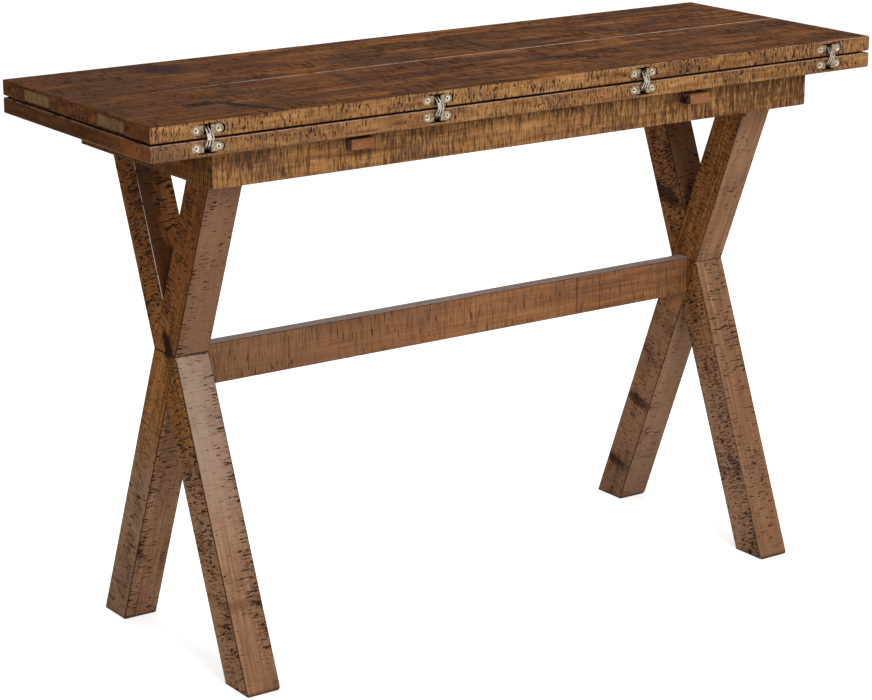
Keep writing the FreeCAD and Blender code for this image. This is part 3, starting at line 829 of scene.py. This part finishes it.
# Aprons
# Four sawn boards on edge are joined into the box under the leaves. The two long ones run its full
# length and carry the heaviest saw marks, upright and close together. The front one is notched for
# the two slides.
apron_corner = 5 * MM
apron_arris_share = 0.2
apron_reach = 3 * MM
apron_cell = 5 * MM
apron_wear = ((40 * MM, 0.12 * MM), (8 * MM, 0.4 * MM))
notch_clear = 0.8 * MM
notch_sill = 0.3 * MM
notch_past = 5 * MM
slide_low, slide_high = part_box("left_loper")
slide_centre = (slide_low.x + slide_high.x) / 2
notch_half = (slide_high.x - slide_low.x) / 2 + notch_clear
apron_marks = dict(stripe=(380, 46), stripe_wave=0.7, stripe_start=0.47, stripe_share=0.85,
                   dash=(380, 60), dash_share=0.6, patch=(12, 20), patch_pull=0.3,
                   smear=(96, 68, 58), smear_share=0.4, grime_share=0.75, rub_and_highlight_share=0.05)
long_apron_finish = sawn_finish(
    "front_apron_finish", ((86, 55, 37), (161, 115, 70), (184, 136, 84)), (64, 44, 34),
    shift=(0.2, 0.6, 0.1), gathers=((X, 0.0, 0.45, 0.09),), **apron_marks)
# The end aprons, and the ends of the long aprons, take a darker, more saturated copy of the apron
# wood: partly the wood's own colour and partly painted shade under the leaf's overhang.
end_apron_wood_and_shade = sawn_finish(
    "end_apron_wood_and_shade", ((64, 37, 17), (116, 74, 37), (156, 103, 52)), (40, 26, 16),
    turn=across_table, shift=(0.9, 0.3, 0.4), **apron_marks)


def sawn_apron(node):
    """An apron board, rounded along its lower arrises and at the lower right corner."""
    low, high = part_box(node)
    piece = block(node + "_board", low, high)

    def share(middle, direction):
        if middle.z > low.z + TOUCHING:
            return 0
        return 1 if along(direction, Y) and middle.x > 0 else apron_arris_share

    round_shares(piece, apron_corner, 4, share)
    ring_cuts(piece, [(axis, apron_cell) for axis in (X, Y, Z)])
    weather(piece, apron_reach, apron_wear)
    if node == "front_apron":
        for x in (slide_centre, -slide_centre):
            notch = span("notch", x - notch_half, x + notch_half, low.y - notch_past,
                         high.y + notch_past, slide_low.z - notch_sill, high.z + notch_past)
            cut_away(piece, notch)
    return piece


for node, finish in (("front_apron", long_apron_finish), ("rear_apron", long_apron_finish),
                     ("left_end_apron", end_apron_wood_and_shade), ("right_end_apron", end_apron_wood_and_shade)):
    piece = sawn_apron(node)
    lay_finishes(piece, (end_apron_wood_and_shade, finish, finish))
    smooth(piece)
    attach(piece, "base")
    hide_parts(node)

# Bearer, fixing blocks and screws
# Inside the box a plain bearer ties the long aprons, and glued blocks with two screws each pull the
# leaf down on the aprons. None of them shows, and they are left in bare wood and steel.
block_wood = sawn_finish("block_wood", bare_ground, bare_mark, shift=(0.4, 0.2, 0.7), **bare_wood)
dress(inner_wood, "centre_bearer")
dress(block_wood, "fixing_blocks")
dress(screw_steel, "fixing_screws", "keeper_screws")

# Legs
# Two pairs of square beams cross as X frames at the ends. Each beam is cut level at the floor and
# under the leaf, half-lapped where the two cross and sawn rough all round.
leg_depth = 54 * MM
spare_ends = 3 * leg_depth
leg_arris = 1.1 * MM
foot_corner = 6.5 * MM
foot_ease = 2.6 * MM
foot_loops = (0.12, 0.35, 0.65, 1.0)
leg_cells = ((Z, 5 * MM), (X, 10 * MM), (Y, 10 * MM))
leg_wear = ((50 * MM, 0.15 * MM), (9 * MM, 0.4 * MM))
lap_past = 5 * MM
rail_low, rail_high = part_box("stretcher")
cross_z = rail_low.z + 53.6 * MM
# The faces towards the ends take their own darker, more saturated copy of the leg wood: partly the
# wood's own colour and partly painted shade under the leaf's overhang.
leg_ground = ((112, 76, 52), (154, 113, 84), (178, 140, 110))
side_ground = ((84, 49, 24), (140, 90, 48), (178, 124, 70))
leg_mark = (44, 28, 20)
side_mark = (36, 22, 14)
# The dark band along the bottom few millimetres of every leg face is a painted contact shadow at
# the floor.
foot_painted_shadow = (Z, 0.006, 0.001, leg_mark, 0.7)
left_lap = ((0, 0, cross_z), (1, 1, 0.0024), (0, 0, 0), (24, 16, 12), 0.85)
right_lap = ((0, 0, cross_z), (1, 1, 0.0014), (0, 0, 0), (52, 28, 18), 0.6)
# The fades by height make each leg darker and warmer above the crossing and paler and pinker
# towards the foot: partly the wood's own colour, partly painted shade under the leaf and in the
# crossing, and partly painted light bounced up from the floor.
leg_looks = {
    "left_rear": dict(
        shift=0.0, side_gather=0.03,
        knots=(left_lap, ((-0.485, -0.004, cross_z + 0.012), (0.02, 0.014, 0.026), (-0.4, 0, 0),
                          (14, 10, 8), 0.95)),
        front=dict(dash_start=0.65, rub_and_highlight_share=0.05,
                   fades=((Z, cross_z - 0.02, cross_z, (130, 94, 72), 0.7), foot_painted_shadow),
                   gathers=((X, -0.45, -0.485, 0.08), (Z, cross_z, cross_z - 0.03, 0.03))),
        side=dict(dash_start=0.62, fades=(
            (Z, 0.36, 0.2, (162, 126, 98), 0.85), (Z, 0.16, 0.03, (138, 104, 80), 0.5),
            (Z, cross_z, cross_z + 0.1, (122, 64, 26), 0.35), foot_painted_shadow))),
    "left_front": dict(
        shift=1.3, rub_and_highlight_near=0.74, side_gather=0.05,
        knots=(left_lap, ((-0.46, -0.3, 0.115), (0.1, 0.3, 0.010), (0, 0, 0), (108, 74, 50), 0.6),
               ((-0.432, 0.07, 0.61), (0.038, 0.3, 0.07), (0, 0, 0), (202, 136, 79), 0.8)),
        # The near-white arris colour of this leg above the crossing is a painted highlight over its
        # worn arris.
        front=dict(dash_start=0.665, rub_and_highlight=(244, 228, 216), rub_and_highlight_share=1.0,
                   rub_and_highlight_zones=((Z, cross_z, cross_z + 0.04), (X, -0.47, -0.48)),
                   fades=((Z, 0.12, 0.34, (171, 147, 128), 0.75),
                          (Z, cross_z + 0.03, cross_z + 0.05, (101, 53, 14), 0.9),
                          (X, -0.47, -0.432, (128, 96, 76), 0.3), foot_painted_shadow),
                   gathers=((X, -0.468, -0.436, 0.1), (Y, 0.0, 0.05, 0.06))),
        side=dict(dash_start=0.6, fades=(
            (Z, 0.40, 0.36, (146, 98, 44), 0.4), (Z, 0.36, 0.24, (167, 127, 96), 0.85),
            (Z, cross_z, cross_z + 0.1, (126, 70, 28), 0.3), foot_painted_shadow))),
    "right_rear": dict(
        shift=2.9, side_gather=0.03,
        knots=(right_lap,
               ((0.432, 0.109, 0.181), (0.02, 0.036, 0.012), (0.28, 0, 0), (38, 26, 18), 0.75),
               ((0.432, 0.162, 0.065), (0.02, 0.040, 0.012), (0.26, 0, 0), (38, 26, 18), 0.75)),
        front=dict(dash_start=0.65, rub_and_highlight_share=0.05, gathers=((X, 0.46, 0.432, 0.03),),
                   fades=((Z, 0.5, 0.3, (160, 126, 100), 0.6), (Z, 0.15, 0.02, (126, 98, 78), 0.5),
                          (Z, cross_z, cross_z + 0.1, (126, 88, 58), 0.35), foot_painted_shadow)),
        side=dict(dash_start=0.61, fades=(
            (Z, 0.42, 0.3, (155, 116, 89), 0.85), (Z, 0.13, 0.03, (118, 88, 68), 0.5),
            foot_painted_shadow))),
    "right_front": dict(
        shift=4.2, side_gather=0.06,
        knots=(right_lap,
               ((0.432, 0.050, 0.529), (0.02, 0.045, 0.017), (0.3, 0, 0), (34, 24, 18), 0.8)),
        front=dict(dash_start=0.615, rub_and_highlight_share=0.8, gathers=((X, 0.45, 0.485, 0.02),),
                   rub_and_highlight_zones=((Z, cross_z, cross_z - 0.02), (X, 0.45, 0.44)),
                   fades=((Z, cross_z, cross_z + 0.04, (104, 66, 38), 0.8),
                          (Z, 0.38, 0.2, (128, 91, 61), 0.5), foot_painted_shadow)),
        side=dict(dash_start=0.6, fades=(
            (Z, 0.46, 0.15, (174, 136, 110), 0.8),
            (Z, cross_z, cross_z + 0.1, (152, 106, 76), 0.5), foot_painted_shadow))),
}


def leg_lean(node):
    """The lean of a beam, worked out from its box and its known depth."""
    low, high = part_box(node)
    reach = high.y - low.y
    tall = high.z - low.z
    return math.acos(leg_depth / math.hypot(reach, tall)) - math.atan2(tall, reach)


def beam(name, node, x0, x1):
    """A square beam between two places along the table, still upright and too long both ways."""
    low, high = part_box(node)
    length = (high.z - low.z) / math.cos(leg_lean(node)) + spare_ends
    half = Vector((x1 - x0, leg_depth, length)) / 2
    return block(name, -half, half)


def stand(piece, node, side, x0, x1):
    """Turn a finished beam to its lean and put it in place. Side 1 has its foot at the rear."""
    low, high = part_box(node)
    middle = Vector(((x0 + x1) / 2, (low.y + high.y) / 2, (low.z + high.z) / 2))
    lean = Matrix.Rotation(leg_lean(node) * side, 4, "X")
    piece.data.transform(Matrix.Translation(middle) @ lean)


def round_foot(piece, corner_x, out_side, floor_z, radius):
    """Cut loops near one bottom corner of a foot, and draw them in to a quarter round."""
    cuts = []
    for share in foot_loops:
        cuts += [(X, corner_x - out_side * radius * share), (Z, floor_z + radius * share)]
    slice_at(piece, cuts)
    for point in piece.data.vertices:
        out = max(out_side * (point.co.x - corner_x) + radius, 0)
        down = max(floor_z + radius - point.co.z, 0)
        if out > 0 and down > 0 and math.hypot(out, down) > radius:
            pull = radius / math.hypot(out, down)
            point.co.x = corner_x + out_side * (out * pull - radius)
            point.co.z = floor_z + radius - down * pull


for end in ("left", "right"):
    for foot, other, side in (("rear", "front", 1), ("front", "rear", -1)):
        node = f"{end}_{foot}_foot_leg"
        partner = f"{end}_{other}_foot_leg"
        low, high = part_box(node)
        look = leg_looks[end + "_" + foot]
        shift = look["shift"]
        turn = (-side * leg_lean(node), QUARTER, 0)
        middle = Vector((0, (low.y + high.y) / 2, (low.z + high.z) / 2))
        centre = (Euler(turn).to_matrix() @ middle).y
        marks = dict(turn=turn, figure=(8, 240), stripe=(440, 46), stripe_start=0.54,
                     patch=(12, 24), patch_pull=0.24, grime_share=0.9, grime_near=0.64,
                     rub_and_highlight_near=look.get("rub_and_highlight_near", 0.8), knots=look["knots"])
        front_wood_and_shade = sawn_finish(
            node + "_front", leg_ground, leg_mark, shift=(shift, 0.2, 0.5), dash=(460, 85),
            smear_share=0.25, rub_and_highlight_start=0.34, **look["front"], **marks)
        side_wood_and_shade = sawn_finish(
            node + "_side", side_ground, side_mark, shift=(shift, 0.7, 0.1), dash=(500, 105),
            stripe_share=0.6, smear=(64, 38, 20), rub_and_highlight_share=0.05,
            gathers=((Z, cross_z, cross_z + 0.12, 0.035),),
            own_gathers=((Y, centre - side * 0.03, centre, look["side_gather"]),),
            **look["side"], **marks)
        piece = beam(node + "_beam", node, low.x, high.x)
        round_edges(piece, leg_arris, 3, lambda middle, direction: along(direction, Z))
        ring_cuts(piece, leg_cells)
        edge_loops(piece)
        weather(piece, arris_reach, leg_wear, (X, Y))
        lay_finishes(piece, (side_wood_and_shade, front_wood_and_shade, end_finish))
        stand(piece, node, side, low.x, high.x)
        slice_at(piece, ((Z, low.z),), use_fill=True, clear_inner=True)
        slice_at(piece, ((Z, high.z),), use_fill=True, clear_outer=True)
        round_foot(piece, high.x, 1, low.z,
                   foot_ease if node == "left_rear_foot_leg" else foot_corner)
        round_foot(piece, low.x, -1, low.z, foot_ease)
        half_way = (low.x + high.x) / 2
        lap = (half_way, high.x + lap_past) if side > 0 else (low.x - lap_past, half_way)
        housing = beam("lap", partner, *lap)
        stand(housing, partner, -side, *lap)
        cut_away(piece, housing)
        smooth(piece)
        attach(piece, "base")
        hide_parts(node)

# Leg bolts
# Steel hex bolts with washers run through each leg top into the end apron, two to a leg. Age has
# blackened them.
bolt_steel = metal_finish("bolt_steel", (120, 112, 102), (76, 70, 64), 0.38, (52, 40, 32))
dress(bolt_steel, "leg_bolts", "leg_bolt_washers")

# Stretcher
# One rail on edge joins the two frames where their beams cross. It is dowelled into the legs,
# smoother than they are, with a few hard saw lines across it.
rail_arris = 1.2 * MM
rail_reach = 3 * MM
rail_cells = ((X, 5 * MM), (Y, 6 * MM), (Z, 6 * MM))
rail_wear = ((60 * MM, 0.15 * MM), (10 * MM, 0.35 * MM))
rail_cuts = [((x, 0, 0), (width, 1, 1), (0, 0, 0), (70, 38, 22), share)
             for x, width, share in ((0.215, 0.0022, 0.8), (0.259, 0.0019, 0.75),
                                     (-0.3, 0.0016, 0.4))]
# At its right end the rail is darkened nearly to black over its last millimetre: a painted shadow
# where it meets the leg.
rail_finish = sawn_finish(
    "rail_finish", ((96, 56, 28), (140, 92, 52), (162, 110, 64)), (60, 34, 24),
    shift=(0.4, 0.8, 0.6), figure=(9, 190), stripe=(300, 20), stripe_start=0.48,
    stripe_share=0.55, dash=(260, 34), dash_start=0.61, dash_share=0.8, patch=(8, 14),
    patch_pull=0.24, smear_share=0.15, grime_share=0.85, grime_near=0.5, rub_and_highlight_share=0.1,
    fades=((X, 0.1, -0.42, (112, 80, 58), 0.55), (X, 0.4296, 0.4312, (24, 14, 10), 0.9)),
    knots=rail_cuts, roughness=0.42, specular=0.2)
# The rail's top is a pale grey copy of the wood: a painted sheen standing for the reflection of the
# white room on the top face.
rail_top_painted_sheen = sawn_finish(
    "rail_top_painted_sheen", ((128, 108, 98), (158, 138, 126), (180, 158, 146)), (90, 70, 60),
    shift=(0.1, 0.3, 0.6), figure=(10, 200), stripe_share=0.15, dash_start=0.7,
    smear_share=0.1, grime_share=0.9, rub_and_highlight_share=0.0, roughness=0.4, specular=0.05)
rail = block("stretcher_rail", rail_low, rail_high)
round_edges(rail, rail_arris, 3, lambda middle, direction: along(direction, X))
ring_cuts(rail, rail_cells)
weather(rail, rail_reach, rail_wear, (Y, Z))
lay_finishes(rail, (rail_finish, rail_finish, rail_top_painted_sheen))
smooth(rail)
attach(rail, "base")
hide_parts("stretcher")

# Lopers
# Two slides pull out through the front apron to carry the open leaf. They are planed smooth,
# reddish at the end that is handled, with a turned pad on top and a stop peg near the back.
slide_arris = 1.3 * MM
slide_reach = 3 * MM
slide_cells = ((Y, 6 * MM), (X, 6 * MM))
slide_wear = ((30 * MM, 0.2 * MM), (8 * MM, 0.6 * MM))
slide_ground = ((114, 66, 35), (139, 86, 47), (158, 104, 59))
slide_mark = (96, 60, 42)
planed = dict(dash_start=0.68, dash_share=0.5, rub_and_highlight_share=0.5, roughness=0.45)
slide_finish = sawn_finish(
    "slide_finish", slide_ground, slide_mark, turn=across_table, figure=(14, 260),
    stripe=(60, 20), stripe_share=0.15, dash=(200, 60), specular=0.4, **planed)
slide_end_finish = sawn_finish(
    "slide_end_finish", slide_ground, slide_mark, figure=(40, 220), stripe=(60, 90),
    stripe_share=0.2, dash=(160, 90), specular=0.2, **planed)
# The slides' sides, facing along the table, are painted near black: painted shade on the sides.
slide_side_painted_shade = sawn_finish(
    "slide_side_painted_shade", ((44, 21, 10), (62, 32, 16), (82, 45, 24)), (30, 16, 9),
    turn=across_table, figure=(14, 260), dash_start=0.66, smear_share=0.0, rub_and_highlight_share=0.3)
for side in ("left", "right"):
    low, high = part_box(side + "_loper")
    piece = block(side + "_slide", low, high)
    round_edges(piece, slide_arris, 3, lambda middle, direction: middle.y < low.y + slide_arris)
    ring_cuts(piece, slide_cells)
    weather(piece, slide_reach, slide_wear)
    lay_finishes(piece, (slide_side_painted_shade, slide_end_finish, slide_finish))
    smooth(piece)
    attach(piece, side + "_loper")
    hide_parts(side + "_loper")
    dress(inner_wood, side + "_loper_pad", side + "_loper_stop_peg")

# Slide channels
# Each slide runs between two cleats of bare wood, under a cap strip that is glued below the leaf
# and over a keeper at the front that is screwed up through the cleats.
for side in ("left", "right"):
    dress(inner_wood, side + "_loper_cleats", side + "_loper_cap", side + "_loper_keeper")

# Floor and light
# A plain pale floor and a white room, lit evenly, with one broad soft lamp in front and one above.
floor_size = 80
floor_grey = (0.86, 0.86, 0.86, 1)
floor_glow = 0.62
room_light = 0.45
white = (1, 1, 1, 1)
lamp_target = Vector((0, 0, 0.5))
lamps = (("front_lamp", (-0.6, -4.2, 3.2), 2.6, 120), ("top_lamp", (0.6, 0.4, 4.4), 3.6, 60))


def backdrop_seen(tree):
    """One for the rays that look at the backdrop itself, by eye, in metal or through glass."""
    rays = add_node(tree, "LightPath").outputs
    seen = rays["Is Camera Ray"]
    for name in ("Is Glossy Ray", "Is Transmission Ray"):
        seen = add_node(tree, "Math", {0: seen, 1: rays[name]}, operation="MAXIMUM").outputs[0]
    return seen


floor = primitive(bpy.ops.mesh.primitive_plane_add, "floor", size=floor_size)
floor_paint = bpy.data.materials.new("floor_paint")
tree = empty_tree(floor_paint)
matt = add_node(tree, "BsdfDiffuse", {"Color": floor_grey})
glow_share = weigh(tree, backdrop_seen(tree), floor_glow)
glow = add_node(tree, "Emission", {"Color": white, "Strength": glow_share})
both = add_node(tree, "AddShader", {0: matt.outputs[0], 1: glow.outputs[0]})
add_node(tree, "OutputMaterial", {0: both.outputs[0]})
floor.data.materials.append(floor_paint)

room = bpy.data.worlds.new("room")
bpy.context.scene.world = room
tree = empty_tree(room)
light_share = weigh(tree, backdrop_seen(tree), 1 - room_light, room_light)
sky = add_node(tree, "Background", {"Color": white, "Strength": light_share})
add_node(tree, "OutputWorld", {0: sky.outputs[0]})


def put(name, thing, place, turn):
    """Put a lamp or a camera in the scene."""
    holder = bpy.data.objects.new(name, thing)
    bpy.context.scene.collection.objects.link(holder)
    holder.location = place
    holder.rotation_euler = turn
    return holder


for name, place, size, power in lamps:
    lamp = bpy.data.lights.new(name, "AREA")
    lamp.shape = "DISK"
    lamp.size = size
    lamp.energy = power
    put(name, lamp, place, (lamp_target - Vector(place)).to_track_quat("-Z", "Y").to_euler())

# Camera
# It stands at the left front corner, well back, and looks down on the table with a long lens.
camera_place = (-2.1528, -3.0219, 1.4297)
camera_yaw = math.radians(34.98)
camera_pitch = math.radians(16.08)
camera_lens = 108.79
camera = bpy.data.cameras.new("camera")
camera.lens = camera_lens
camera.sensor_width = 36
camera_turn = (QUARTER - camera_pitch, 0, -camera_yaw)
bpy.context.scene.camera = put("camera", camera, camera_place, camera_turn)
bpy.context.scene.view_settings.view_transform = "Standard"
